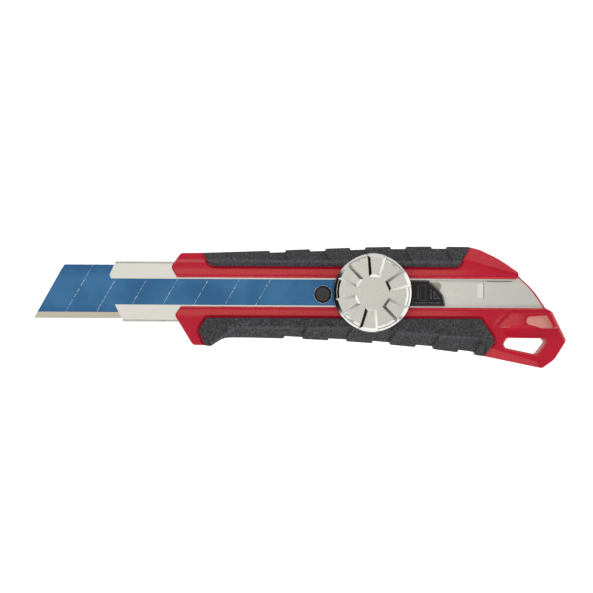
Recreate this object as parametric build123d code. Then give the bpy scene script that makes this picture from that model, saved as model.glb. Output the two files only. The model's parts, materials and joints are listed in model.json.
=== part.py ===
from build123d import *
import math
import os

# Snap-off utility knife with a wheel lock. Millimetres, X along the blade with the tip at -X,
# +Y towards the blade's spine, +Z out of the front face. The origin is on the flat back,
# under the lock wheel's axis.

# ---------------------------------------------------------------- driving dimensions

# Blade
BLADE_WIDTH = 18.0
BLADE_THICKNESS = 0.5
BLADE_TIP_X = -113.3
BLADE_TAIL_X = -12.0
BLADE_GRIND_WIDTH = 2.1
BLADE_EDGE_THICKNESS = 0.06
SNAP_ANGLE = 60.0
SNAP_LINES = 7
SNAP_PITCH = 10.36
SNAP_FIRST_X = -103.9
SNAP_GROOVE_WIDTH = 0.16
SNAP_GROOVE_DEPTH = 0.1
PIN_X = -16.5
PIN_Y = -0.6
PIN_RADIUS = 2.9
PIN_STEM_RADIUS = 2.0

# Channel
SHEET = 0.6
CHANNEL_HALF_WIDTH = 10.2
CHANNEL_SLOT_HALF = 4.35
LIP_END_UPPER_X = 47.3
LIP_END_LOWER_X = 57.0
BEND_RADIUS = 0.9
LIP_GROOVE_Y = 7.3
LIP_GROOVES = [(-86.0, -77.6), (-73.9, -66.0)]
TAB_X = (35.4, 37.4)
TAB_Y = (-1.5, 3.3)
TAB_HEIGHT = 0.25
TAB_SLIT = 0.25
SLIT_DEPTH = 0.4
SCRIBE_WIDTH = 0.16
SCRIBE_DEPTH = 0.06
# scribed marks in the floor: x from, x to, y
SCRIBES = [(24.0, 35.3, 0.95), (24.6, 31.0, -1.5)]
RELIEF = (38.5, 47.0, 3.95, 4.2)

# Heights above the back face
COVER_TOP = 4.0
DECK_TOP = 6.2
FLOOR_TOP = DECK_TOP + SHEET
LIP_BOTTOM = 8.5
CHANNEL_TOP = LIP_BOTTOM + SHEET
FACE_TOP = 11.0
GRIP_TOP = 11.5
HOLDER_BOTTOM = 6.92
HOLDER_TOP = 7.7
BLADE_BOTTOM = 7.75
PLATE_BOTTOM = 7.48
PLATE_TOP = 8.48
SLIDER_FLANGE_BOTTOM = 9.15
SLIDER_TOP = 10.4
WASHER_TOP = 10.8
SPRING_WASHER_TOP = 11.3
HUB_BOTTOM = 11.35
WHEEL_BOTTOM = 12.0
WHEEL_FACE = 17.0
LUG_TOP = 17.6

# Handle
CLEARANCE = 0.05
SLOT_HALF = 4.85
PANEL_TOP = 11.4
CREASE_Y = 10.4
LOWER_CREASE_Y = -11.9
BEVEL_SLOPE = 0.55
BEVEL_REACH = 14.0
CREASE_ROUND = 0.5
NOTCH_DEPTH = 0.85
NOTCH_CORNER = 0.75
SEAM_DEPTH = 0.5
SEAM_ANGLE = 60.0
EDGE_ROUND = 0.55
SLOT_ROUND = 1.2
HOLE_CHAMFER = 0.5
GRIP_SKIN = 1.75
GRIP_CHAMFER = 0.3
BACK_CHAMFER = 0.8

# Lock wheel
WHEEL_RADIUS = 12.98
LUG_RADIUS = 13.1
LUGS = 6
LUG_INNER = 6.1
LUG_WALL = 0.85
LUG_INNER_HALF = 1.05
LUG_OUTER_HALF = 2.6
LUG_PHASE = 84.0
HUB_RADIUS = 5.2
NUT_RADIUS = 3.7
NUT_TOP = 15.35
STUD_RADIUS = 2.45
THREAD_CLEARANCE = 0.05
STUD_TOP = 15.6
WASHER_RADIUS = 4.4

# Screws of the back cover: x, y of each axis
SCREWS = [(-59.6, -13.4), (11.0, -12.5), (42.3, -12.6), (60.7, -12.4), (34.3, 12.4)]
SCREW_RADIUS = 0.95
SCREW_HEAD_RADIUS = 1.8
SCREW_SEAT = 1.5
SCREW_TIP = 8.6
RIVETS = [(-52.0, 0.0), (14.0, 0.0)]
SLIDER_RIVETS = [(-9.6, -2.6), (-9.6, 2.6)]
SLIDER_RIVET_RADIUS = 1.0
SPRING_RIVET = (10.5, 2.3)
SPRING_RIVET_RADIUS = 0.9

# ---------------------------------------------------------------- outlines: x, y, corner radius

HANDLE = [
    (-67.4, 8.4, 1.6), (-64.1, 12.98, 1.6), (-56.5, 13.1, 0), (-36.0, 13.85, 0),
    (-1.0, 15.35, 600), (20.0, 15.7, 800), (31.9, 15.55, 0), (33.2, 15.35, 0),
    (36.4, 14.45, 5), (42.5, 11.5, 30), (48.7, 7.15, 0.9), (48.95, 6.05, 0),
    (54.2, 1.2, 25), (58.4, -5.05, 0.9), (60.2, -5.9, 1.0), (64.95, -15.6, 1.2),
    (61.0, -22.0, 6), (56.9, -24.95, 1.5), (38.2, -21.15, 0), (36.8, -20.95, 0),
    (20.0, -18.55, 400), (-1.0, -16.75, 400), (-22.0, -15.6, 400), (-42.0, -15.2, 300),
    (-49.6, -15.25, 7), (-53.9, -18.15, 1.0), (-55.8, -17.9, 0.9), (-56.4, -17.82, 0),
    (-59.9, -17.85, 1.6), (-66.05, -7.8, 1.4), (-63.4, -4.0, 0.9), (-65.0, 4.2, 0.9),
]
UPPER_GRIP_AREA = [
    (-58.17, 16.0, 0), (-54.5, 9.3, 1.5), (-53.3, 8.7, 0.5), (28.1, 8.7, 0.6),
    (29.3, 9.6, 0.6), (33.0, 16.2, 0),
]
LOWER_GRIP_AREA = [
    (-55.5, -8.6, 1.0), (-57.95, -12.8, 1.2), (-55.0, -20.0, 0), (35.6, -24.0, 0),
    (40.85, -16.3, 0.5), (40.6, -14.8, 0.5), (36.35, -8.5, 0.8),
]
UPPER_CORE = [(-62.0, 2.0), (-62.0, 11.3), (-40.0, 11.8), (36.0, 11.8), (36.0, 2.0)]
LOWER_CORE = [
    (-62.0, -2.0), (-62.0, -13.3), (-9.0, -13.3), (38.0, -16.6), (44.0, -17.0), (44.0, -2.0),
]
UPPER_NOTCH_FLOOR = [
    (-62.0, 2.0), (-62.0, 12.2), (0.0, 14.62), (20.0, 14.95), (36.0, 14.85), (36.0, 2.0),
]
LOWER_NOTCH_FLOOR = [
    (-62.0, -2.0), (-62.0, -14.4), (-30.0, -14.65), (0.0, -16.1), (20.0, -17.8), (44.0, -20.9),
    (44.0, -2.0),
]
# finger notches: y of the inner end, y of the handle's edge, for each notch in turn
UPPER_NOTCHES = [(10.8, 14.1), (10.8, 14.7), (10.7, 15.3), (10.6, 15.5), (10.5, 15.6)]
UPPER_NOTCH_FIRST_X = -35.9
UPPER_NOTCH_PITCH = 13.75
UPPER_NOTCH_WIDTH = 4.9
UPPER_NOTCH_END = 16.5
LOWER_NOTCHES = [(-11.3, -15.6), (-11.7, -16.3), (-12.8, -17.3), (-14.2, -18.5), (-15.0, -20.5)]
LOWER_NOTCH_FIRST_X = -33.6
LOWER_NOTCH_PITCH = 15.2
LOWER_NOTCH_WIDTH = 5.9
LOWER_NOTCH_END = -22.0
UPPER_NOTCH_LEAN = -0.52
LOWER_NOTCH_LEAN = 0.6
# what is cut from the upper arm to round its end, above the channel's floor
ARM_END = [
    (46.5, 4.0, 0), (46.5, 4.85, 0), (48.75, 4.85, 1.2), (49.15, 7.4, 0.9), (47.6, 9.0, 0),
    (53.0, 9.0, 0), (53.0, 4.0, 0),
]
CHANNEL_PLAN = [
    (-83.2, -10.2, 0.5), (-86.1, -4.5, 0.8), (-87.3, 4.1, 0.5), (-88.0, 5.5, 0.8),
    (-85.9, 10.2, 0.5), (41.5, 10.2, 0), (48.3, 6.05, 0), (53.7, 1.0, 25), (57.8, -5.1, 0),
    (57.8, -10.2, 0),
]
LANYARD_HOLE = [
    (45.1, -14.85, 1.0), (56.9, -14.9, 1.6), (58.2, -16.2, 0.8), (55.0, -20.35, 1.0),
    (44.6, -18.2, 1.0), (43.9, -16.9, 0.8),
]
SLIDER_PLAN = [
    (-12.8, -4.45, 0.8), (-12.8, 4.3, 0.8), (18.7, 4.3, 0.8), (22.3, 1.2, 0.8),
    (23.75, -0.8, 0.8), (24.65, -4.45, 0.7),
]
# raised ribs on the slider: x from, x to, y from, y to, height
SLIDER_RIBS = [
    (15.0, 15.4, -2.2, 2.5, 0.35), (16.1, 17.8, -2.5, 2.8, 0.45), (19.4, 19.8, -2.0, 1.3, 0.35),
    (13.6, 22.8, -3.4, -3.1, 0.3),
]
SLIDER_ARROW = [(20.5, 0.9), (20.5, -1.9), (22.5, -1.9)]
SLIDER_ARROW_RISE = 0.4
SCOOP = [(51.2, -9.4, 1.2), (52.1, -7.7, 0.8), (58.4, -7.2, 0.4), (60.9, -11.7, 0.3), (53.4, -11.3, 1.5)]
PANEL = [(42.2, -11.4), (45.9, -6.4), (59.9, -6.4), (62.1, -11.6)]
# V-groove beside the panel: from x, y to x, y
PANEL_GROOVE = ((40.3, -10.9), (44.2, -6.6))
PANEL_GROOVE_WIDTH = 0.55
SCOOP_TILT = 4.5
HOLLOW = (51.3, -13.2)
HOLLOW_RADIUS = 4.0
HOLLOW_LENGTH = 30.0
HOLLOW_DEPTH = 0.9


# sections of turned parts: radius, height
WHEEL_PROFILE = [
    (0, WHEEL_FACE), (11.2, WHEEL_FACE), (11.9, 16.45), (12.05, 16.45), (12.2, 16.55),
    (12.85, 16.05), (WHEEL_RADIUS, 15.6), (WHEEL_RADIUS, 12.7), (12.5, WHEEL_BOTTOM),
    (11.6, WHEEL_BOTTOM), (11.4, 13.6), (6.6, 13.6), (6.4, WHEEL_BOTTOM),
    (HUB_RADIUS, WHEEL_BOTTOM), (HUB_RADIUS, HUB_BOTTOM), (NUT_RADIUS, HUB_BOTTOM),
    (NUT_RADIUS, NUT_TOP), (2.7, NUT_TOP), (2.7, 16.0), (0, 16.0),
]
LUG_PROFILE = [
    (0, LUG_TOP), (11.75, LUG_TOP), (12.95, 16.67), (LUG_RADIUS, 16.2), (LUG_RADIUS, 13.1),
    (12.8, 12.4), (12.3, 12.4), (12.3, 16.2), (0, 16.2),
]

# ---------------------------------------------------------------- helpers


def area(points):
    """Flat face inside an outline of (x, y) or (x, y, corner radius) points."""
    radii = [p[2] if len(p) > 2 else 0 for p in points]
    corners = [(p[0], p[1]) for p in points]
    return make_face(FilletPolyline(*corners, radius=radii, close=True).edges())


def prism(points, z0, z1):
    """Upright block between two heights."""
    return extrude(Pos(0, 0, z0) * area(points), z1 - z0)


def block(x0, x1, y0, y1, z0, z1):
    return Pos((x0 + x1) / 2, (y0 + y1) / 2, (z0 + z1) / 2) * Box(x1 - x0, y1 - y0, z1 - z0)


def rod(x, y, z0, z1, radius):
    return Pos(x, y, (z0 + z1) / 2) * Cylinder(radius, z1 - z0)


def spun(points):
    """Solid of revolution about Z from (radius, z) points."""
    section = make_face(Polyline(*[(r, 0, z) for r, z in points], close=True).edges())
    return revolve(section, Axis.Z)


def spindle(length, radius):
    """Pointed solid of revolution about X, thickest in the middle."""
    tip = length / 2
    arc = ThreePointArc((-tip, 0), (0, radius), (tip, 0))
    return revolve(make_face([arc, Line((tip, 0), (-tip, 0))]), Axis.X)


def along_x(points, x0, x1):
    """Solid with a constant (y, z) section."""
    section = make_face(Polyline(*[(x0, y, z) for y, z in points], close=True).edges())
    return extrude(section, x1 - x0, dir=(1, 0, 0))


def side_bevel(start, end, height):
    """Cutter that slopes down to the left of the line from start to end."""
    dx, dy = end[0] - start[0], end[1] - start[1]
    drop = BEVEL_REACH * BEVEL_SLOPE
    soft = CREASE_ROUND * BEVEL_SLOPE
    section = [
        (-CREASE_ROUND, height), (0, height - soft * 0.35), (CREASE_ROUND, height - soft),
        (BEVEL_REACH, height - drop), (BEVEL_REACH, 20), (-CREASE_ROUND, 20),
    ]
    cutter = along_x(section, 0, math.hypot(dx, dy))
    return Pos(start[0], start[1], 0) * Rot(0, 0, math.degrees(math.atan2(dy, dx))) * cutter


def vee(start, end, width, height):
    """Cutter for a V-groove along the line from start to end, as deep as half its width."""
    dx, dy = end[0] - start[0], end[1] - start[1]
    section = [(0, height - width / 2), (width, height + width / 2), (-width, height + width / 2)]
    cutter = along_x(section, 0, math.hypot(dx, dy))
    return Pos(start[0], start[1], 0) * Rot(0, 0, math.degrees(math.atan2(dy, dx))) * cutter


def upper_bevel(height):
    rear = side_bevel((26.0, 12.02), (49.5, 5.9), height)
    return side_bevel((-70.0, CREASE_Y), (40.0, CREASE_Y), height) + rear


def lower_bevel(height):
    front = side_bevel((-9.0, LOWER_CREASE_Y), (-45.5, LOWER_CREASE_Y), height)
    middle = side_bevel((38.4, -15.4), (-9.0, LOWER_CREASE_Y), height)
    bump = side_bevel((-45.5, LOWER_CREASE_Y), (-53.6, -17.6), height)
    return front + middle + bump


def grip_band(plan, core, z0, z1, core_z0, core_z1):
    """What an elastomer pad takes from the handle: its area less the core that it wraps."""
    return prism(plan, z0, z1) - prism(core, core_z0, core_z1)


def notches(ends, first_x, pitch, width, lean, outer, z0, z1):
    """Slanted finger notches that lean by lean a millimetre, the ridge beside each one cut back."""
    side = math.copysign(1, outer)
    cut = []
    for k, (inner, edge) in enumerate(ends):
        left = first_x + k * pitch
        right = left + width
        start = lean * (inner - outer)
        corner_y = edge - side * NOTCH_CORNER
        corner_x = right + lean * (corner_y - outer)
        edge_x = right + lean * (edge - outer) + NOTCH_CORNER
        cut.append(prism([
            (left, outer), (edge_x, outer), (edge_x, edge), (corner_x, corner_y),
            (right + start, inner), (left + start, inner),
        ], z0, z1))
    return Part() + cut


# ---------------------------------------------------------------- handle


def pad_block(plan):
    """Upright block of a pad's area, its top edge chamfered."""
    pad = prism(plan, COVER_TOP, GRIP_TOP)
    return chamfer(pad.faces().sort_by(Axis.Z)[-1].outer_wire().edges(), GRIP_CHAMFER)


def front_grip_cutter(plan, core):
    return grip_band(plan, core, COVER_TOP, GRIP_TOP + 1, COVER_TOP - 1, GRIP_TOP - GRIP_SKIN)


def back_grip_cutter(plan, core):
    return grip_band(plan, core, -1, COVER_TOP, GRIP_SKIN, COVER_TOP + 1)


def make_body():
    body = prism(HANDLE, COVER_TOP, FACE_TOP)
    body = fillet(body.faces().sort_by(Axis.Z)[-1].outer_wire().edges(), EDGE_ROUND)
    panel = prism(PANEL, FACE_TOP - 1, PANEL_TOP)
    panel = chamfer(panel.faces().sort_by(Axis.Z)[-1].outer_wire().edges(), PANEL_TOP - FACE_TOP)
    body += panel & prism(HANDLE, 0, PANEL_TOP)
    body -= vee(*PANEL_GROOVE, PANEL_GROOVE_WIDTH, FACE_TOP)
    body -= upper_bevel(FACE_TOP)
    body -= side_bevel((56.0, -22.5), (37.0, -16.9), FACE_TOP)
    body -= front_grip_cutter(UPPER_GRIP_AREA, UPPER_CORE)
    body -= front_grip_cutter(LOWER_GRIP_AREA, LOWER_CORE)
    for plan in (UPPER_GRIP_AREA, LOWER_GRIP_AREA):
        body -= extrude(Pos(0, 0, FACE_TOP - SEAM_DEPTH) * area(plan), 1.2, taper=-SEAM_ANGLE)
    # channel pocket, slot for the slider, sight strip behind the channel's end
    pocket = prism(CHANNEL_PLAN, DECK_TOP, CHANNEL_TOP + CLEARANCE)
    nose_run = block(-70, -60, -10.25, 10.25, DECK_TOP, CHANNEL_TOP + CLEARANCE)
    body -= pocket + nose_run
    body -= rounded_slot()
    body -= prism(ARM_END, FLOOR_TOP, FACE_TOP + 1)
    # rear end: lanyard hole, thumb scoop, hollow band between panel and hole
    body -= prism(LANYARD_HOLE, -1, PANEL_TOP + 1)
    body -= extrude(Pos(0, 0, FACE_TOP - HOLE_CHAMFER) * area(LANYARD_HOLE), 2, taper=-45)
    body -= prism(SCOOP, FACE_TOP - 3, PANEL_TOP + 1) - scoop_floor()
    body -= Pos(*HOLLOW, FACE_TOP + HOLLOW_RADIUS - HOLLOW_DEPTH) * spindle(HOLLOW_LENGTH, HOLLOW_RADIUS)
    # cored-out rear end and bosses
    body -= block(45.5, 57.0, -12.2, -6.5, COVER_TOP, FACE_TOP - 3)
    for x, y in SCREWS:
        body -= rod(x, y, COVER_TOP, SCREW_TIP, SCREW_RADIUS)
    for x, y in RIVETS:
        body -= rod(x, y, COVER_TOP, DECK_TOP, 1.2) + rod(x, y, COVER_TOP, COVER_TOP + 0.9, 2.3)
    return body


def rounded_slot():
    """The slider's slot, its two upper edges rounded off over SLOT_ROUND by EDGE_ROUND."""
    section = [(-SLOT_HALF, FLOOR_TOP)]
    for side in (-1, 1):
        corner = []
        for turn in (0, 18, 36, 54, 72, 90):
            angle = math.radians(turn)
            y = SLOT_HALF + SLOT_ROUND * (1 - math.cos(angle))
            corner.append((side * y, FACE_TOP - EDGE_ROUND * (1 - math.sin(angle))))
        corner.append((side * (SLOT_HALF + SLOT_ROUND), FACE_TOP + 1))
        section += corner if side < 0 else corner[::-1]
    section.append((SLOT_HALF, FLOOR_TOP))
    return along_x(section, -70, 70)


def scoop_floor():
    """Sloping floor of the thumb scoop, lowest at its right end."""
    floor = block(50, 62, -13, -5, FACE_TOP - 4, FACE_TOP + 1)
    slope = Pos(51.0, -9, PANEL_TOP) * Rot(0, SCOOP_TILT, 0) * Pos(10, 0, 5) * Box(24, 12, 10)
    return floor - slope


def make_back_cover():
    cover = prism(HANDLE, 0, COVER_TOP)
    bottom = cover.faces().sort_by(Axis.Z)[0]
    cover = chamfer(bottom.outer_wire().edges(), BACK_CHAMFER)
    cover -= back_grip_cutter(UPPER_GRIP_AREA, UPPER_CORE)
    cover -= back_grip_cutter(LOWER_GRIP_AREA, LOWER_CORE)
    cover -= prism(LANYARD_HOLE, -1, COVER_TOP + 1)
    cover -= block(-56, 33, -9.5, 7.6, 1.8, COVER_TOP)
    for x in (-40, -22, -4, 14):
        cover += block(x - 0.7, x + 0.7, -9.5, 7.6, 1.8, COVER_TOP - 0.6)
    for x, y in SCREWS:
        cover -= rod(x, y, SCREW_SEAT, COVER_TOP, SCREW_RADIUS + 0.25)
        cover -= rod(x, y, 0, SCREW_SEAT, SCREW_HEAD_RADIUS + 0.15)
    return cover


def make_front_grip(plan, core, bevel, notch_floor, cuts):
    grip = prism(HANDLE, COVER_TOP, GRIP_TOP) & front_grip_cutter(plan, core)
    grip &= pad_block(plan)
    grip -= bevel(GRIP_TOP)
    base = prism(notch_floor, COVER_TOP - 1, GRIP_TOP) - bevel(GRIP_TOP - NOTCH_DEPTH)
    grip -= notches(*cuts, COVER_TOP, GRIP_TOP) - base
    return grip


def make_back_grip(plan, core, notch_floor, cuts):
    whole = prism(HANDLE, 0, COVER_TOP)
    bottom = whole.faces().sort_by(Axis.Z)[0]
    whole = chamfer(bottom.outer_wire().edges(), BACK_CHAMFER)
    grip = whole & back_grip_cutter(plan, core)
    base = prism(notch_floor, 0, COVER_TOP)
    grip -= notches(*cuts, 0, COVER_TOP) - base
    for x, y in SCREWS:
        grip -= rod(x, y, 0, COVER_TOP, SCREW_HEAD_RADIUS + 0.15)
    return grip


def make_cover_screws():
    screws = []
    for x, y in SCREWS:
        screw = rod(x, y, SCREW_SEAT, SCREW_TIP, SCREW_RADIUS)
        screw += rod(x, y, 0.3, SCREW_SEAT, SCREW_HEAD_RADIUS)
        for turn in (45, 135):
            screw -= Pos(x, y, 0.5) * Rot(0, 0, turn) * Box(2.2, 0.5, 1.0)
        screws.append(screw)
    return Compound(children=screws)


# ---------------------------------------------------------------- channel


def make_channel():
    w, s = CHANNEL_HALF_WIDTH, CHANNEL_SLOT_HALF
    outer = [(-s, CHANNEL_TOP), (-w, CHANNEL_TOP), (-w, DECK_TOP)]
    outer += [(w, DECK_TOP), (w, CHANNEL_TOP), (s, CHANNEL_TOP)]
    inner = [(s, LIP_BOTTOM), (w - SHEET, LIP_BOTTOM), (w - SHEET, FLOOR_TOP)]
    inner += [(-w + SHEET, FLOOR_TOP), (-w + SHEET, LIP_BOTTOM), (-s, LIP_BOTTOM)]
    channel = along_x(outer + inner, -89, 59)
    bends = []
    for edge in channel.edges().filter_by(Axis.X):
        middle = edge @ 0.5
        if abs(abs(middle.Y) - w) < 0.01:
            bends.append(edge)
    channel = fillet(bends, BEND_RADIUS)
    channel &= prism(CHANNEL_PLAN, DECK_TOP - 1, CHANNEL_TOP + 1)
    channel -= block(LIP_END_UPPER_X, 60, 0, 12, FLOOR_TOP, CHANNEL_TOP + 1)
    channel -= block(LIP_END_LOWER_X, 60, -12, 0, FLOOR_TOP, CHANNEL_TOP + 1)
    x0, x1 = TAB_X
    low = FLOOR_TOP - SHEET / 2
    high = FLOOR_TOP + TAB_HEIGHT
    ramp = Polyline((x0, 0, low), (x0, 0, FLOOR_TOP), (x1, 0, high), (x1, 0, low), close=True)
    width = TAB_Y[1] - TAB_Y[0]
    channel += extrude(Pos(0, TAB_Y[0], 0) * make_face(ramp.edges()), width, dir=(0, 1, 0))
    near, far = TAB_Y[0] - TAB_SLIT, TAB_Y[1] + TAB_SLIT
    channel -= block(x1, x1 + TAB_SLIT, near, far, FLOOR_TOP - SLIT_DEPTH, FLOOR_TOP)
    half = SCRIBE_WIDTH / 2
    for x0, x1, y in SCRIBES:
        channel -= block(x0, x1, y - half, y + half, FLOOR_TOP - SCRIBE_DEPTH, FLOOR_TOP)
    channel -= block(*RELIEF, FLOOR_TOP - SLIT_DEPTH, FLOOR_TOP)
    for x0, x1 in LIP_GROOVES:
        near, far = LIP_GROOVE_Y - half, LIP_GROOVE_Y + half
        channel -= block(x0, x1, near, far, CHANNEL_TOP - SCRIBE_DEPTH, CHANNEL_TOP)
    for x, y in RIVETS:
        channel -= Pos(x, y, (DECK_TOP + FLOOR_TOP) / 2) * Cone(1.2, 2.0, SHEET)
    return channel


def make_channel_rivets():
    rivets = []
    for x, y in RIVETS:
        rivet = Pos(x, y, (DECK_TOP + FLOOR_TOP) / 2) * Cone(1.2, 2.0, SHEET)
        rivet += rod(x, y, COVER_TOP + 0.1, DECK_TOP, 1.2)
        rivet += rod(x, y, COVER_TOP + 0.1, COVER_TOP + 0.9, 2.0)
        rivets.append(rivet)
    return Compound(children=rivets)


# ---------------------------------------------------------------- blade and carriage


def make_blade():
    half = BLADE_WIDTH / 2
    outline = [
        (BLADE_TIP_X, -half, 0), (-104.3, 7.2, 0), (-103.1, half, 0), (BLADE_TAIL_X, half, 0),
        (BLADE_TAIL_X, -half, 0),
    ]
    top = BLADE_BOTTOM + BLADE_THICKNESS
    middle = BLADE_BOTTOM + BLADE_THICKNESS / 2
    blade = prism(outline, BLADE_BOTTOM, top)
    grind_y = -half + BLADE_GRIND_WIDTH
    low = middle + BLADE_EDGE_THICKNESS / 2
    high = middle - BLADE_EDGE_THICKNESS / 2
    under = BLADE_BOTTOM
    for face, edge, step in ((top, low, 1), (under, high, -1)):
        wedge = [(grind_y, face), (-half, edge), (-half - 1, edge)]
        wedge += [(-half - 1, face + step), (grind_y, face + step)]
        blade -= along_x(wedge, BLADE_TIP_X - 1, 0)
    length = BLADE_WIDTH / math.sin(math.radians(SNAP_ANGLE)) + 2
    for k in range(SNAP_LINES):
        x = SNAP_FIRST_X + k * SNAP_PITCH + half / math.tan(math.radians(SNAP_ANGLE))
        for z in (top, under):
            groove = Box(length, SNAP_GROOVE_WIDTH, 2 * SNAP_GROOVE_DEPTH)
            blade -= Pos(x, 0, z) * Rot(0, 0, SNAP_ANGLE) * groove
    blade -= rod(PIN_X, PIN_Y, 0, 20, PIN_RADIUS + 0.1)
    return blade


def make_blade_holder():
    holder = block(-22.0, 9.4, -9.3, 9.3, HOLDER_BOTTOM, HOLDER_TOP)
    corners = holder.edges().filter_by(Axis.Z)
    holder = fillet(corners, 1.0)
    holder -= block(-7.0, 12.0, -6.9, 6.9, 0, 20)
    holder -= rod(PIN_X, PIN_Y, 0, 20, PIN_STEM_RADIUS)
    for x, y in SLIDER_RIVETS:
        holder -= rod(x, y, 0, 20, SLIDER_RIVET_RADIUS)
    return holder


def make_blade_pin():
    head = rod(PIN_X, PIN_Y, HOLDER_TOP, CHANNEL_TOP, PIN_RADIUS)
    head = chamfer(head.edges().group_by(Axis.Z)[-1], 0.65)
    return head + rod(PIN_X, PIN_Y, HOLDER_BOTTOM, HOLDER_TOP, PIN_STEM_RADIUS)


def make_slider():
    flange = prism(SLIDER_PLAN, SLIDER_FLANGE_BOTTOM, SLIDER_TOP)
    flange = chamfer(flange.edges().group_by(Axis.Z)[-1], 0.5)
    slider = flange + block(-11.8, -7.0, -4.2, 4.2, HOLDER_TOP, SLIDER_FLANGE_BOTTOM)
    slider += block(-7.0, 18.0, -4.2, 4.2, PLATE_TOP + 0.07, SLIDER_FLANGE_BOTTOM)
    slider += block(5.4, 18.0, -4.2, 4.2, 7.9, SLIDER_FLANGE_BOTTOM)
    for x0, x1, y0, y1, rise in SLIDER_RIBS:
        rib = block(x0, x1, y0, y1, SLIDER_TOP - 0.2, SLIDER_TOP + rise)
        slider += fillet(rib.edges().group_by(Axis.Z)[-1], 0.14)
    arrow = prism(SLIDER_ARROW, SLIDER_TOP - 0.2, SLIDER_TOP + SLIDER_ARROW_RISE)
    slider += chamfer(arrow.edges().group_by(Axis.Z)[-1], 0.2)
    slider -= rod(0, 0, 0, 20, STUD_RADIUS + 0.15)
    slider -= block(7.5, 18.5, 0.9, 3.7, 7.0, 8.35)
    slider -= rod(*SPRING_RIVET, 0, 9.6, SPRING_RIVET_RADIUS)
    for x, y in SLIDER_RIVETS:
        slider -= rod(x, y, 0, 20, SLIDER_RIVET_RADIUS)
    return slider


def make_slider_rivets():
    rivets = []
    for x, y in SLIDER_RIVETS:
        shank = rod(x, y, HOLDER_BOTTOM, SLIDER_TOP + 0.4, SLIDER_RIVET_RADIUS)
        head = rod(x, y, SLIDER_TOP, SLIDER_TOP + 0.5, 1.7)
        rivets.append(shank + chamfer(head.edges().group_by(Axis.Z)[-1], 0.3))
    return Compound(children=rivets)


def make_leaf_spring():
    leaf = prism([(8.0, 1.0), (8.0, 3.6), (23.1, 3.6, 1.28), (23.1, 1.0, 1.28)], 8.0, 8.3)
    return leaf - rod(*SPRING_RIVET, 0, 20, SPRING_RIVET_RADIUS)


def make_spring_rivet():
    return rod(*SPRING_RIVET, 7.75, 9.6, SPRING_RIVET_RADIUS) + rod(*SPRING_RIVET, 7.75, 8.0, 1.3)


def make_clamp_plate():
    plate = block(-6.0, 5.0, -6.5, 6.5, PLATE_BOTTOM, PLATE_TOP)
    plate = chamfer(plate.edges().filter_by(Axis.Z), 1.0)
    return plate - rod(0, 0, 0, 20, 2.0)


def make_clamp_stud():
    shank = rod(0, 0, PLATE_TOP, STUD_TOP, STUD_RADIUS)
    shank = chamfer(shank.edges().group_by(Axis.Z)[-1], 0.5)
    return shank + rod(0, 0, PLATE_BOTTOM, PLATE_TOP, 2.0)


def make_thrust_washer():
    return rod(0, 0, SLIDER_TOP, WASHER_TOP, WASHER_RADIUS) - rod(0, 0, 0, 20, STUD_RADIUS + 0.2)


def make_spring_washer():
    inner, outer = STUD_RADIUS + 0.2, WASHER_RADIUS - 0.1
    return spun([(inner, 11.0), (inner, SPRING_WASHER_TOP), (outer, 11.1), (outer, WASHER_TOP)])


# ---------------------------------------------------------------- lock wheel


def make_wheel():
    wheel = spun(WHEEL_PROFILE)
    lug = make_lug()
    for k in range(LUGS):
        wheel += Rot(0, 0, LUG_PHASE + k * 360 / LUGS) * lug
    return wheel


def make_lug():
    """One raised grip lug, along +X: sloping sides and inner end, its outer end turned round."""
    ring = spun(LUG_PROFILE)
    foot = lug_plan(LUG_WALL)
    sides = loft([Pos(0, 0, WHEEL_FACE) * foot, Pos(0, 0, LUG_TOP) * lug_plan(0)], ruled=True)
    base = Pos(0, 0, WHEEL_BOTTOM) * lug_plan(LUG_WALL + 0.6)
    skirt = loft([base, Pos(0, 0, WHEEL_FACE) * foot], ruled=True)
    return ring & (sides + skirt)


def lug_plan(margin):
    """The lug's plan, wider by margin on each side than its flat top."""
    start = LUG_INNER - margin
    inner, outer = LUG_INNER_HALF + margin, LUG_OUTER_HALF + margin
    return area([(start, -inner), (LUG_RADIUS + 1, -outer), (LUG_RADIUS + 1, outer), (start, inner)])


def make_wheel_nut():
    nut = rod(0, 0, HUB_BOTTOM, NUT_TOP, NUT_RADIUS)
    nut = chamfer(nut.edges().group_by(Axis.Z)[0], 0.3)
    return nut - rod(0, 0, 0, 20, STUD_RADIUS + THREAD_CLEARANCE)


# ---------------------------------------------------------------- build and write

UPPER = (UPPER_GRIP_AREA, UPPER_CORE)
LOWER = (LOWER_GRIP_AREA, LOWER_CORE)
UPPER_CUTS = (
    UPPER_NOTCHES, UPPER_NOTCH_FIRST_X, UPPER_NOTCH_PITCH, UPPER_NOTCH_WIDTH, UPPER_NOTCH_LEAN,
    UPPER_NOTCH_END,
)
LOWER_CUTS = (
    LOWER_NOTCHES, LOWER_NOTCH_FIRST_X, LOWER_NOTCH_PITCH, LOWER_NOTCH_WIDTH, LOWER_NOTCH_LEAN,
    LOWER_NOTCH_END,
)

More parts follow.
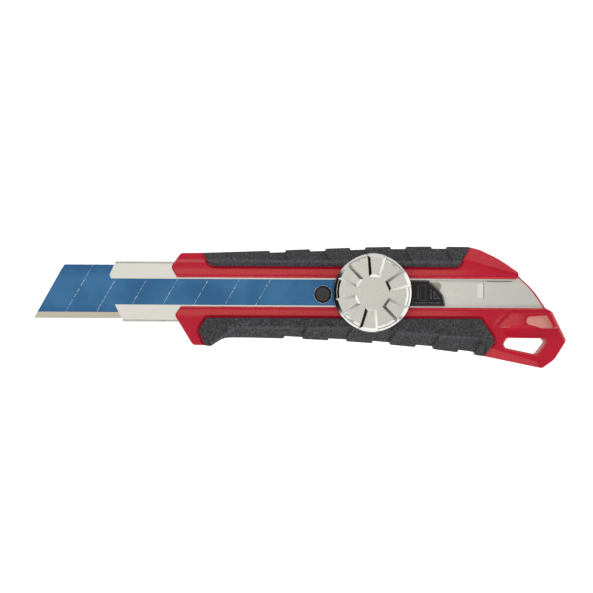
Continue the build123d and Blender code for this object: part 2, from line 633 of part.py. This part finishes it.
PARTS = {
    "body": make_body(),
    "back_cover": make_back_cover(),
    "upper_grip": make_front_grip(*UPPER, upper_bevel, UPPER_NOTCH_FLOOR, UPPER_CUTS),
    "lower_grip": make_front_grip(*LOWER, lower_bevel, LOWER_NOTCH_FLOOR, LOWER_CUTS),
    "back_upper_grip": make_back_grip(*UPPER, UPPER_NOTCH_FLOOR, UPPER_CUTS),
    "back_lower_grip": make_back_grip(*LOWER, LOWER_NOTCH_FLOOR, LOWER_CUTS),
    "cover_screws": make_cover_screws(),
    "channel": make_channel(),
    "channel_rivets": make_channel_rivets(),
    "blade": make_blade(),
    "blade_holder": make_blade_holder(),
    "blade_pin": make_blade_pin(),
    "slider": make_slider(),
    "slider_rivets": make_slider_rivets(),
    "leaf_spring": make_leaf_spring(),
    "spring_rivet": make_spring_rivet(),
    "clamp_plate": make_clamp_plate(),
    "clamp_stud": make_clamp_stud(),
    "thrust_washer": make_thrust_washer(),
    "spring_washer": make_spring_washer(),
    "lock_wheel": make_wheel(),
    "wheel_nut": make_wheel_nut(),
}

os.makedirs("parts", exist_ok=True)
for name, shape in PARTS.items():
    export_step(shape, "parts/" + name + ".step")
    print(name, "volume", round(shape.volume, 1))
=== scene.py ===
import json
import math

import bpy
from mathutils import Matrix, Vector

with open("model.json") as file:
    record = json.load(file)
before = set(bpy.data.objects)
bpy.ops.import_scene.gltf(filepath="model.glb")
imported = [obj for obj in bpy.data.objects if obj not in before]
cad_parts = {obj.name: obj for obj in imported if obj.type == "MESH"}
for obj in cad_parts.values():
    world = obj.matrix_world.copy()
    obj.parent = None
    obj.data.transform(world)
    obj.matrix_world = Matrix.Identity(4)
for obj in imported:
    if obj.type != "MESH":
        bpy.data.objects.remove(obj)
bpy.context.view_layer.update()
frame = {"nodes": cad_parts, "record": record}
nodes = frame["nodes"]

MM = 0.001

# ---------------------------------------------------------------- view

VIEW_WIDTH = 0.1988          # what the frame takes in, side to side, at the blade's height
VIEW_CENTRE = (-0.02533, -0.00137)
VIEW_PLANE_Z = 0.008
CAMERA_DISTANCE = 0.84
CAMERA_ROLL = math.radians(0.32)
SENSOR = 36.0


def make_camera():
    data = bpy.data.cameras.new("camera")
    data.sensor_width = SENSOR
    data.lens = SENSOR * CAMERA_DISTANCE / VIEW_WIDTH
    data.clip_start, data.clip_end = 0.05, 20.0
    camera = bpy.data.objects.new("camera", data)
    camera.location = (*VIEW_CENTRE, VIEW_PLANE_Z + CAMERA_DISTANCE)
    camera.rotation_euler = (0, 0, CAMERA_ROLL)
    bpy.context.scene.collection.objects.link(camera)
    bpy.context.scene.camera = camera


# ---------------------------------------------------------------- node helpers


def set_range(node, numbers):
    """Sets a Map Range node: from low, from high, to low, to high."""
    for name, number in zip(("From Min", "From Max", "To Min", "To Max"), numbers):
        node.inputs[name].default_value = number


class Shader:
    """A Principled material with short helpers for its procedural nodes."""

    def __init__(self, name, color, roughness, metallic=0.0, specular=0.5):
        self.material = bpy.data.materials.new(name)
        self.material.use_nodes = True
        self.tree = self.material.node_tree
        self.bsdf = self.tree.nodes["Principled BSDF"]
        self.bsdf.inputs["Base Color"].default_value = (*color, 1)
        self.bsdf.inputs["Roughness"].default_value = roughness
        self.bsdf.inputs["Metallic"].default_value = metallic
        self.bsdf.inputs["Specular IOR Level"].default_value = specular
        self.coords = self.tree.nodes.new("ShaderNodeTexCoord")

    def add(self, kind, **settings):
        node = self.tree.nodes.new(kind)
        for key, value in settings.items():
            setattr(node, key, value)
        return node

    def link(self, source, target):
        self.tree.links.new(source, target)

    def scaled(self, scale):
        mapping = self.add("ShaderNodeMapping")
        mapping.inputs["Scale"].default_value = scale
        self.link(self.coords.outputs["Object"], mapping.inputs["Vector"])
        return mapping.outputs["Vector"]

    def noise(self, size, detail=3.0, roughness=0.55, stretch=(1, 1, 1)):
        """Noise whose blobs are about size metres across."""
        node = self.add("ShaderNodeTexNoise")
        node.inputs["Scale"].default_value = 1.0
        node.inputs["Detail"].default_value = detail
        node.inputs["Roughness"].default_value = roughness
        self.link(self.scaled(tuple(1 / (size * s) for s in stretch)), node.inputs["Vector"])
        return node.outputs["Fac"]

    def remap(self, value, low, high, out_low=0.0, out_high=1.0):
        node = self.add("ShaderNodeMapRange", interpolation_type="SMOOTHSTEP")
        set_range(node, (low, high, out_low, out_high))
        self.link(value, node.inputs["Value"])
        return node.outputs["Result"]

    def grained(self, noise, low=0.0, high=1.0):
        """A noise's middle range, spread from low to high."""
        return self.remap(noise, 0.3, 0.7, low, high)

    def math(self, operation, a, b=0.0):
        node = self.add("ShaderNodeMath", operation=operation)
        for socket, value in zip(node.inputs, (a, b)):
            if isinstance(value, (int, float)):
                socket.default_value = value
            else:
                self.link(value, socket)
        return node.outputs["Value"]

    def both(self, a, b):
        return self.math("MULTIPLY", a, b)

    def mix(self, factor, a, b):
        node = self.add("ShaderNodeMix", data_type="RGBA")
        for index, value in ((0, factor), (6, a), (7, b)):
            if isinstance(value, tuple):
                node.inputs[index].default_value = (*value, 1)
            elif isinstance(value, (int, float)):
                node.inputs[index].default_value = value
            else:
                self.link(value, node.inputs[index])
        return node.outputs[2]

    def mix_value(self, factor, a, b):
        """a where factor is 0, b where it is 1."""
        span = self.math("SUBTRACT", b, a)
        return self.math("ADD", self.math("MULTIPLY", factor, span), a)

    def band(self, value, limits):
        """1 where the value lies between the two limits."""
        above = self.math("GREATER_THAN", value, limits[0])
        return self.math("MULTIPLY", above, self.math("LESS_THAN", value, limits[1]))

    def position(self):
        node = self.add("ShaderNodeSeparateXYZ")
        self.link(self.coords.outputs["Object"], node.inputs["Vector"])
        return node.outputs

    def normal(self):
        node = self.add("ShaderNodeSeparateXYZ")
        self.link(self.coords.outputs["Normal"], node.inputs["Vector"])
        return node.outputs

    def bump(self, height, distance):
        """Adds a bump of distance metres for height 0 to 1, on top of any earlier one."""
        node = self.add("ShaderNodeBump")
        node.inputs["Distance"].default_value = distance
        node.inputs["Strength"].default_value = 1.0
        self.link(height, node.inputs["Height"])
        earlier = self.bsdf.inputs["Normal"].links
        if earlier:
            self.link(earlier[0].from_socket, node.inputs["Normal"])
        self.link(node.outputs["Normal"], self.bsdf.inputs["Normal"])

    def color(self, socket):
        self.link(socket, self.bsdf.inputs["Base Color"])

    def roughness(self, socket):
        self.link(socket, self.bsdf.inputs["Roughness"])


# ---------------------------------------------------------------- materials

# Zones of the red body. Places are in metres, slopes are the Z of the normal, and 1 is flat.
FLAT = 0.98
ROUNDED = (0.25, 0.72)          # rounded edges and chamfers
CREASE = (0.89, 0.985)          # soft creases
BEVELLED = (0.871, 0.882)       # the handle's long bevels
CROWN_INNER = (0.0054, 0.0064)  # distance from the middle where the rails' painted highlight fades in
CROWN_OUTER = (0.0086, 0.0072)  # and where it fades out
CROWN_END = (0.038, 0.022)      # X where it fades out towards the rear
SLOT_HIGHLIGHT = (0.0051, 0.0054)    # distance from the middle of the painted highlight line beside the slot
SLOT_HIGHLIGHT_Z = 0.01
PANEL_Z = 0.01102               # the raised panel lies above this
PANEL_END = (0.052, 0.048)      # X where its tint fades out
PANEL_EDGE = (0.0446, -0.0105)  # the painted highlight on its edges stays only left of this X or below this Y
NOSE_X = -0.03                  # the nose's crease lies left of this
NOSE_Y = 0.009                  # and this far from the middle
REAR_X = 0.03                   # the bevels right of this get a painted highlight
TAIL_NORMAL = (0.898, 0.44)     # the rear end's outline, a line in the plan
TAIL_OFFSET = 0.05146
TAIL_FADE = (0.0011, 0.0004)    # distance inside that line
TAIL_START = (0.058, 0.06)      # X where the painted highlight on its edge begins
TAIL_Z = 0.0098
SCOOP_TILT = (0.04, 0.12)       # X of the normal on the thumb scoop's floor
SCOOP_AREA = ((0.0515, 0.0613), (-0.0125, -0.0068))
# colour of the painted edge highlights
PAINTED_EDGE_HIGHLIGHT = (0.76, 0.2, 0.18)

RUBBER_CREASE = (0.89, 0.99)    # slopes of the grips' creases
PLASTIC_EDGE = (0.3, 0.97)      # and of the slider's edges
PIN_EDGE = (0.4, 0.96)          # and of the blade pin's
NICKEL_FLAT = (0.985, 0.998)    # and where the wheel turns from polished to satin

SLIT_SHADE_Z = (0.00632, 0.0067)      # heights of the cuts in the channel's floor, where painted shade darkens the steel
DRAW_DEPTH = 0.0000012

BLADE_Z = 0.008                 # middle of the blade's thickness
GROUND_Y = (-0.00688, -0.00694)
SCORE_DEPTH = (0.00023, 0.00021)
SCORE_FADE = (0.002, 0.0075)
BLADE_SHADE = (0.0035, 0.009)  # distance from the middle over which painted shade darkens the blue

FLOOR_GLOW = 1.05
FLOOR_FADE = (0.25, 0.7)


def red_plastic():
    """Moulded handle plastic: textured, with painted highlights on its rounded edges, creases and
    bevels and along the rails, and a painted reflection in the thumb scoop.
    """
    s = Shader("red_abs", (0.5, 0.015, 0.037), 0.4, specular=0.18)
    cloud = s.noise(0.015, 2.0)
    grain = s.noise(0.0005, 3.0, 0.6)
    red = s.mix(s.grained(cloud), (0.625, 0.008, 0.034), (0.67, 0.012, 0.04))
    x, y, z = s.position()
    normal = s.normal()
    tilt, up = normal[0], normal[2]
    offset = s.math("ABSOLUTE", y)
    flat = s.math("GREATER_THAN", up, FLAT)
    on_panel = s.math("GREATER_THAN", z, PANEL_Z)

    # rails: a painted highlight along the middle (the raised panel gets the same paler red), and a
    # thin painted highlight line beside the slot
    crown_highlight = s.both(s.remap(offset, *CROWN_INNER), s.remap(offset, *CROWN_OUTER))
    crown_highlight = s.both(crown_highlight, s.remap(x, *CROWN_END))
    panel = s.both(on_panel, s.remap(x, *PANEL_END))
    crown_highlight = s.both(s.math("MAXIMUM", crown_highlight, panel), flat)
    red = s.mix(s.both(crown_highlight, s.grained(grain, 0.35, 0.9)), red, (0.74, 0.085, 0.08))
    line = s.both(s.band(offset, SLOT_HIGHLIGHT), s.grained(grain, 0.1, 0.6))
    red = s.mix(s.both(line, s.math("GREATER_THAN", z, SLOT_HIGHLIGHT_Z)), red, (0.74, 0.16, 0.14))

    # painted highlights on rounded edges, less the panel's far ones, and on the nose's crease
    rim_highlight = s.both(s.band(up, ROUNDED), s.grained(grain, 0.3, 0.75))
    left_of = s.math("LESS_THAN", x, PANEL_EDGE[0])
    below = s.math("LESS_THAN", y, PANEL_EDGE[1])
    far_edge = s.math("SUBTRACT", 1.0, s.math("MAXIMUM", left_of, below))
    rim_highlight = s.both(rim_highlight, s.math("SUBTRACT", 1.0, s.both(on_panel, far_edge)))
    nose = s.both(s.math("LESS_THAN", x, NOSE_X), s.math("GREATER_THAN", offset, NOSE_Y))
    crease = s.both(s.both(s.band(up, CREASE), nose), 0.45)
    red = s.mix(s.math("MAXIMUM", rim_highlight, crease), red, PAINTED_EDGE_HIGHLIGHT)

    # painted highlights: the bevels and the rear outline are a little paler
    bevel_highlight = s.both(s.band(up, BEVELLED), s.grained(grain, 0.1, 0.5))
    red = s.mix(s.both(bevel_highlight, s.math("GREATER_THAN", x, REAR_X)), red, (0.72, 0.12, 0.11))
    reach = s.math("ADD", s.both(x, TAIL_NORMAL[0]), s.both(y, TAIL_NORMAL[1]))
    tail_highlight = s.remap(s.math("SUBTRACT", TAIL_OFFSET, reach), *TAIL_FADE)
    tail_highlight = s.both(tail_highlight, s.remap(x, *TAIL_START))
    tail_highlight = s.both(tail_highlight, s.grained(grain, 0.4, 0.9))
    tail_highlight = s.both(tail_highlight, s.math("GREATER_THAN", z, TAIL_Z))
    red = s.mix(tail_highlight, red, PAINTED_EDGE_HIGHLIGHT)

    # painted reflection: the thumb scoop's tilted floor is tinted pale pink
    patch = s.both(s.band(tilt, SCOOP_TILT), flat)
    for value, limits in zip((x, y), SCOOP_AREA):
        patch = s.both(patch, s.band(value, limits))
    s.color(s.mix(patch, red, (0.88, 0.35, 0.3)))
    s.roughness(s.remap(grain, 0.25, 0.75, 0.32, 0.46))
    s.bump(grain, 0.00005)
    s.bump(s.noise(0.006, 2.0), 0.00004)
    return s.material


def rubber():
    """Grip elastomer: spark-eroded texture with pale specks, and a painted highlight along its
    creases.
    """
    s = Shader("grip_elastomer", (0.045, 0.045, 0.05), 0.62, specular=0.4)
    speck = s.noise(0.00045, 3.0, 0.6)
    cloud = s.noise(0.006, 2.0)
    up = s.normal()[2]
    light = s.both(s.remap(speck, 0.42, 0.7), s.grained(cloud, 0.55, 0.9))
    # painted highlight along the creases; below, light holds both the pale specks and this painted
    # highlight
    crease = s.both(s.band(up, RUBBER_CREASE), s.remap(speck, 0.35, 0.6, 0.2, 0.7))
    light = s.math("MAXIMUM", light, crease)
    s.color(s.mix(light, (0.03, 0.029, 0.031), (0.155, 0.148, 0.157)))
    s.roughness(s.grained(speck, 0.72, 0.52))
    s.bump(speck, 0.00007)
    return s.material


def steel(name, color, roughness, shaded_slit=None):
    """Sheet steel with drawing marks along X, and painted shade in the cuts, between the two given
    heights.
    """
    s = Shader(name, color, roughness, 1.0)
    lines = s.noise(0.00018, 4.0, 0.6, (60, 1, 1))
    patch = s.noise(0.02, 2.0, 0.5, (2, 1, 1))
    streaks = s.remap(lines, 0.25, 0.75, roughness - 0.04, roughness + 0.05)
    s.roughness(s.math("ADD", streaks, s.grained(patch, -0.02, 0.03)))
    dark = tuple(c * 0.92 for c in color)
    tone = s.mix(s.grained(patch), dark, color)
    if shaded_slit:
        # painted shade at the bottom of the cuts in the floor
        depth = s.band(s.position()[2], shaded_slit)
        tone = s.mix(s.both(depth, 0.85), tone, (0.05, 0.05, 0.045))
    s.color(tone)
    s.bump(lines, DRAW_DEPTH)
    return s.material


def blued_steel():
    """Blued blade, with bare steel on the ground edge and, broken up, in the score lines."""
    s = Shader("blued_blade", (0.06, 0.2, 0.39), 0.3, 1.0)
    place = s.position()
    y, z = place[1], place[2]
    mottle = s.noise(0.012, 3.0, 0.5)
    lines = s.noise(0.00015, 3.0, 0.6, (50, 1, 1))
    blue = s.mix(s.grained(mottle), (0.03, 0.095, 0.2), (0.042, 0.13, 0.25))
    # painted shade: darker towards the long edges, which lie under the channel's lips
    edge_shade = s.remap(s.math("ABSOLUTE", y), *BLADE_SHADE, 0.0, 0.5)
    blue = s.mix(edge_shade, blue, (0.018, 0.06, 0.15))
    ground = s.remap(y, *GROUND_Y)
    depth = s.math("ABSOLUTE", s.math("SUBTRACT", z, BLADE_Z))
    scored = s.remap(depth, *SCORE_DEPTH)
    scored = s.both(scored, s.remap(s.noise(0.0009, 2.0), 0.4, 0.6, 0.05, 0.75))
    scored = s.both(scored, s.remap(y, *SCORE_FADE, 1.0, 0.45))
    blue = s.mix(scored, blue, (0.6, 0.64, 0.68))
    s.color(s.mix(ground, blue, (0.43, 0.385, 0.3)))
    s.roughness(s.remap(lines, 0.25, 0.75, 0.26, 0.34))
    s.bump(lines, 0.000002)
    return s.material


def black_plastic():
    """Slider moulding, with a painted highlight on its edges."""
    s = Shader("black_acetal", (0.012, 0.012, 0.012), 0.36, specular=0.25)
    grain = s.noise(0.0003, 3.0)
    black = s.mix(s.grained(grain), (0.003, 0.003, 0.003), (0.007, 0.007, 0.008))
    # painted highlight on the slider's rounded edges
    edge_highlight = s.both(s.band(s.normal()[2], PLASTIC_EDGE), s.grained(grain, 0.15, 0.8))
    s.color(s.mix(edge_highlight, black, (0.34, 0.33, 0.32)))
    s.roughness(s.remap(grain, 0.25, 0.75, 0.26, 0.4))
    s.bump(grain, 0.00001)
    return s.material


def black_oxide():
    """Blackened steel, with a painted highlight on its chamfers."""
    s = Shader("black_oxide", (0.05, 0.045, 0.05), 0.4, 0.4)
    grain = s.noise(0.0004, 3.0)
    black = s.mix(s.grained(grain), (0.026, 0.024, 0.026), (0.043, 0.04, 0.043))
    # painted highlight on the chamfers
    s.color(s.mix(s.band(s.normal()[2], PIN_EDGE), black, (0.075, 0.07, 0.072)))
    s.roughness(s.remap(grain, 0.25, 0.75, 0.3, 0.42))
    s.bump(grain, 0.00001)
    return s.material


def cast_nickel():
    """Satin on the flat tops; polished on the bevels and walls, which are painted a darker grey as
    shade.
    """
    s = Shader("satin_nickel", (0.8, 0.78, 0.72), 0.3, 1.0)
    grain = s.noise(0.0006, 4.0, 0.65)
    flat = s.remap(s.normal()[2], *NICKEL_FLAT)
    s.roughness(s.mix_value(flat, 0.2, s.grained(grain, 0.36, 0.5)))
    tone = s.mix(s.grained(grain), (0.56, 0.545, 0.485), (0.7, 0.69, 0.62))
    # painted shade: bevels and walls take a darker grey than the satin tops
    s.color(s.mix(flat, (0.4, 0.395, 0.375), tone))
    s.bump(s.both(grain, flat), 0.00004)
    return s.material


def white_floor():
    """Glows brightest under the object, a painted pool of light falling off towards its far edges.
    """
    s = Shader("floor", (0.9, 0.9, 0.9), 0.9, specular=0.0)
    place = s.position()
    x, y = place[0], place[1]
    reach = s.math("SQRT", s.math("ADD", s.both(x, x), s.both(y, y)))
    # painted pool of light: the floor glows and is paler near the object
    glow = s.remap(reach, *FLOOR_FADE, 1.0, 0.15)
    s.color(s.mix(glow, (0.1, 0.1, 0.1), (0.4, 0.4, 0.4)))
    s.bsdf.inputs["Emission Color"].default_value = (1, 1, 1, 1)
    s.link(s.both(glow, FLOOR_GLOW), s.bsdf.inputs["Emission Strength"])
    return s.material


# ---------------------------------------------------------------- light and floor

FLOOR_SIZE = 6.0
FLOOR_Z = -0.0002
ROOM_SIDES = (-0.8, 0.5, 0.07, 0.9)    # X of the direction, then strength from dark to light
ROOM_HEIGHT = (0.3, 0.95, 0.0, 1.0)    # Z of the direction, then share of the overhead strength
ROOM_OVERHEAD = 0.8

# name, location, target, size and power
LIGHTS = [
    ("overhead", (-0.25, 0.05, 0.95), (0, 0, 0), (1.0, 1.0), 4.5),
    ("right", (0.85, -0.05, 0.26), (0, 0, 0), (1.2, 0.35), 3.4),
    ("near", (-0.2, -0.85, 0.28), (-0.2, 0, 0), (2.2, 0.35), 6.0),
    ("far", (0.0, 0.85, 0.28), (0, 0, 0), (2.4, 0.35), 4.6),
]


def make_floor():
    bpy.ops.mesh.primitive_plane_add(size=FLOOR_SIZE, location=(0, 0, FLOOR_Z))
    floor = bpy.context.object
    floor.name = "floor"
    floor.data.materials.append(white_floor())


def area_light(name, location, target, size, power):
    data = bpy.data.lights.new(name, "AREA")
    data.shape = "RECTANGLE"
    data.size, data.size_y = size
    data.energy = power
    light = bpy.data.objects.new(name, data)
    light.location = location
    light.rotation_euler = (Vector(target) - Vector(location)).to_track_quat("-Z", "Y").to_euler()
    bpy.context.scene.collection.objects.link(light)


def make_world():
    """Soft grey room, lighter overhead and to the right, darker to the left."""
    world = bpy.data.worlds.new("studio")
    bpy.context.scene.world = world
    world.use_nodes = True
    tree = world.node_tree
    coords = tree.nodes.new("ShaderNodeTexCoord")
    split = tree.nodes.new("ShaderNodeSeparateXYZ")
    side = tree.nodes.new("ShaderNodeMapRange")
    height = tree.nodes.new("ShaderNodeMapRange")
    blend = tree.nodes.new("ShaderNodeMix")
    tree.links.new(coords.outputs["Generated"], split.inputs["Vector"])
    tree.links.new(split.outputs["X"], side.inputs["Value"])
    tree.links.new(split.outputs["Z"], height.inputs["Value"])
    set_range(side, ROOM_SIDES)
    set_range(height, ROOM_HEIGHT)
    tree.links.new(height.outputs["Result"], blend.inputs[0])
    tree.links.new(side.outputs["Result"], blend.inputs[2])
    blend.inputs[3].default_value = ROOM_OVERHEAD
    tree.links.new(blend.outputs[0], tree.nodes["Background"].inputs["Strength"])


def make_studio():
    make_floor()
    make_world()
    for light in LIGHTS:
        area_light(*light)
    view = bpy.context.scene.view_settings
    view.view_transform = "Standard"
    view.look = "None"


# ---------------------------------------------------------------- finishes


def finish_nodes():
    """Gives each CAD node the material that its record names."""
    finishes = {
        "red_plastic": red_plastic(),
        "grip_rubber": rubber(),
        "stainless": steel("stainless", (0.56, 0.55, 0.5), 0.3, SLIT_SHADE_Z),
        "blued_steel": blued_steel(),
        "black_plastic": black_plastic(),
        "black_oxide": black_oxide(),
        "spring_steel": steel("spring_steel", (0.26, 0.25, 0.19), 0.3),
        "zinc_alloy": cast_nickel(),
        "brass": steel("brass", (0.8, 0.6, 0.28), 0.3),
        "plated_steel": steel("plated_steel", (0.7, 0.7, 0.68), 0.32),
    }
    for part in frame["record"]["subparts"]:
        node = nodes[part["node"]]
        node.data.materials.clear()
        node.data.materials.append(finishes[part["material_slot"]])


# Edge rounding of the moulded and cast parts, in millimetres. The body's CAD edges stay as they are.
EDGE_WIDTHS = {
    "body": 0,
    "back_cover": 0.2,
    "upper_grip": 0.15,
    "lower_grip": 0.15,
    "back_upper_grip": 0.15,
    "back_lower_grip": 0.15,
    "lock_wheel": 0.12,
}
EDGE_ANGLE = math.radians(28)
COPLANAR_ANGLE = math.radians(0.6)
WELD_DISTANCE = 0.000002


def soften_edges():
    """Joins the flat faces of the larger parts, rounds their sharp edges and smooths the shading."""
    for name, width in EDGE_WIDTHS.items():
        node = nodes[name]
        weld = node.modifiers.new("weld", "WELD")
        weld.merge_threshold = WELD_DISTANCE
        flat = node.modifiers.new("flat", "DECIMATE")
        flat.decimate_type = "DISSOLVE"
        flat.angle_limit = COPLANAR_ANGLE
        if width:
            bevel = node.modifiers.new("bevel", "BEVEL")
            bevel.width = width * MM
            bevel.segments = 2
            bevel.limit_method = "ANGLE"
            bevel.angle_limit = EDGE_ANGLE
            bevel.use_clamp_overlap = True
            bevel.miter_outer = "MITER_ARC"
        normals = node.modifiers.new("normals", "WEIGHTED_NORMAL")
        normals.keep_sharp = True


make_camera()
make_studio()
finish_nodes()
soften_edges()
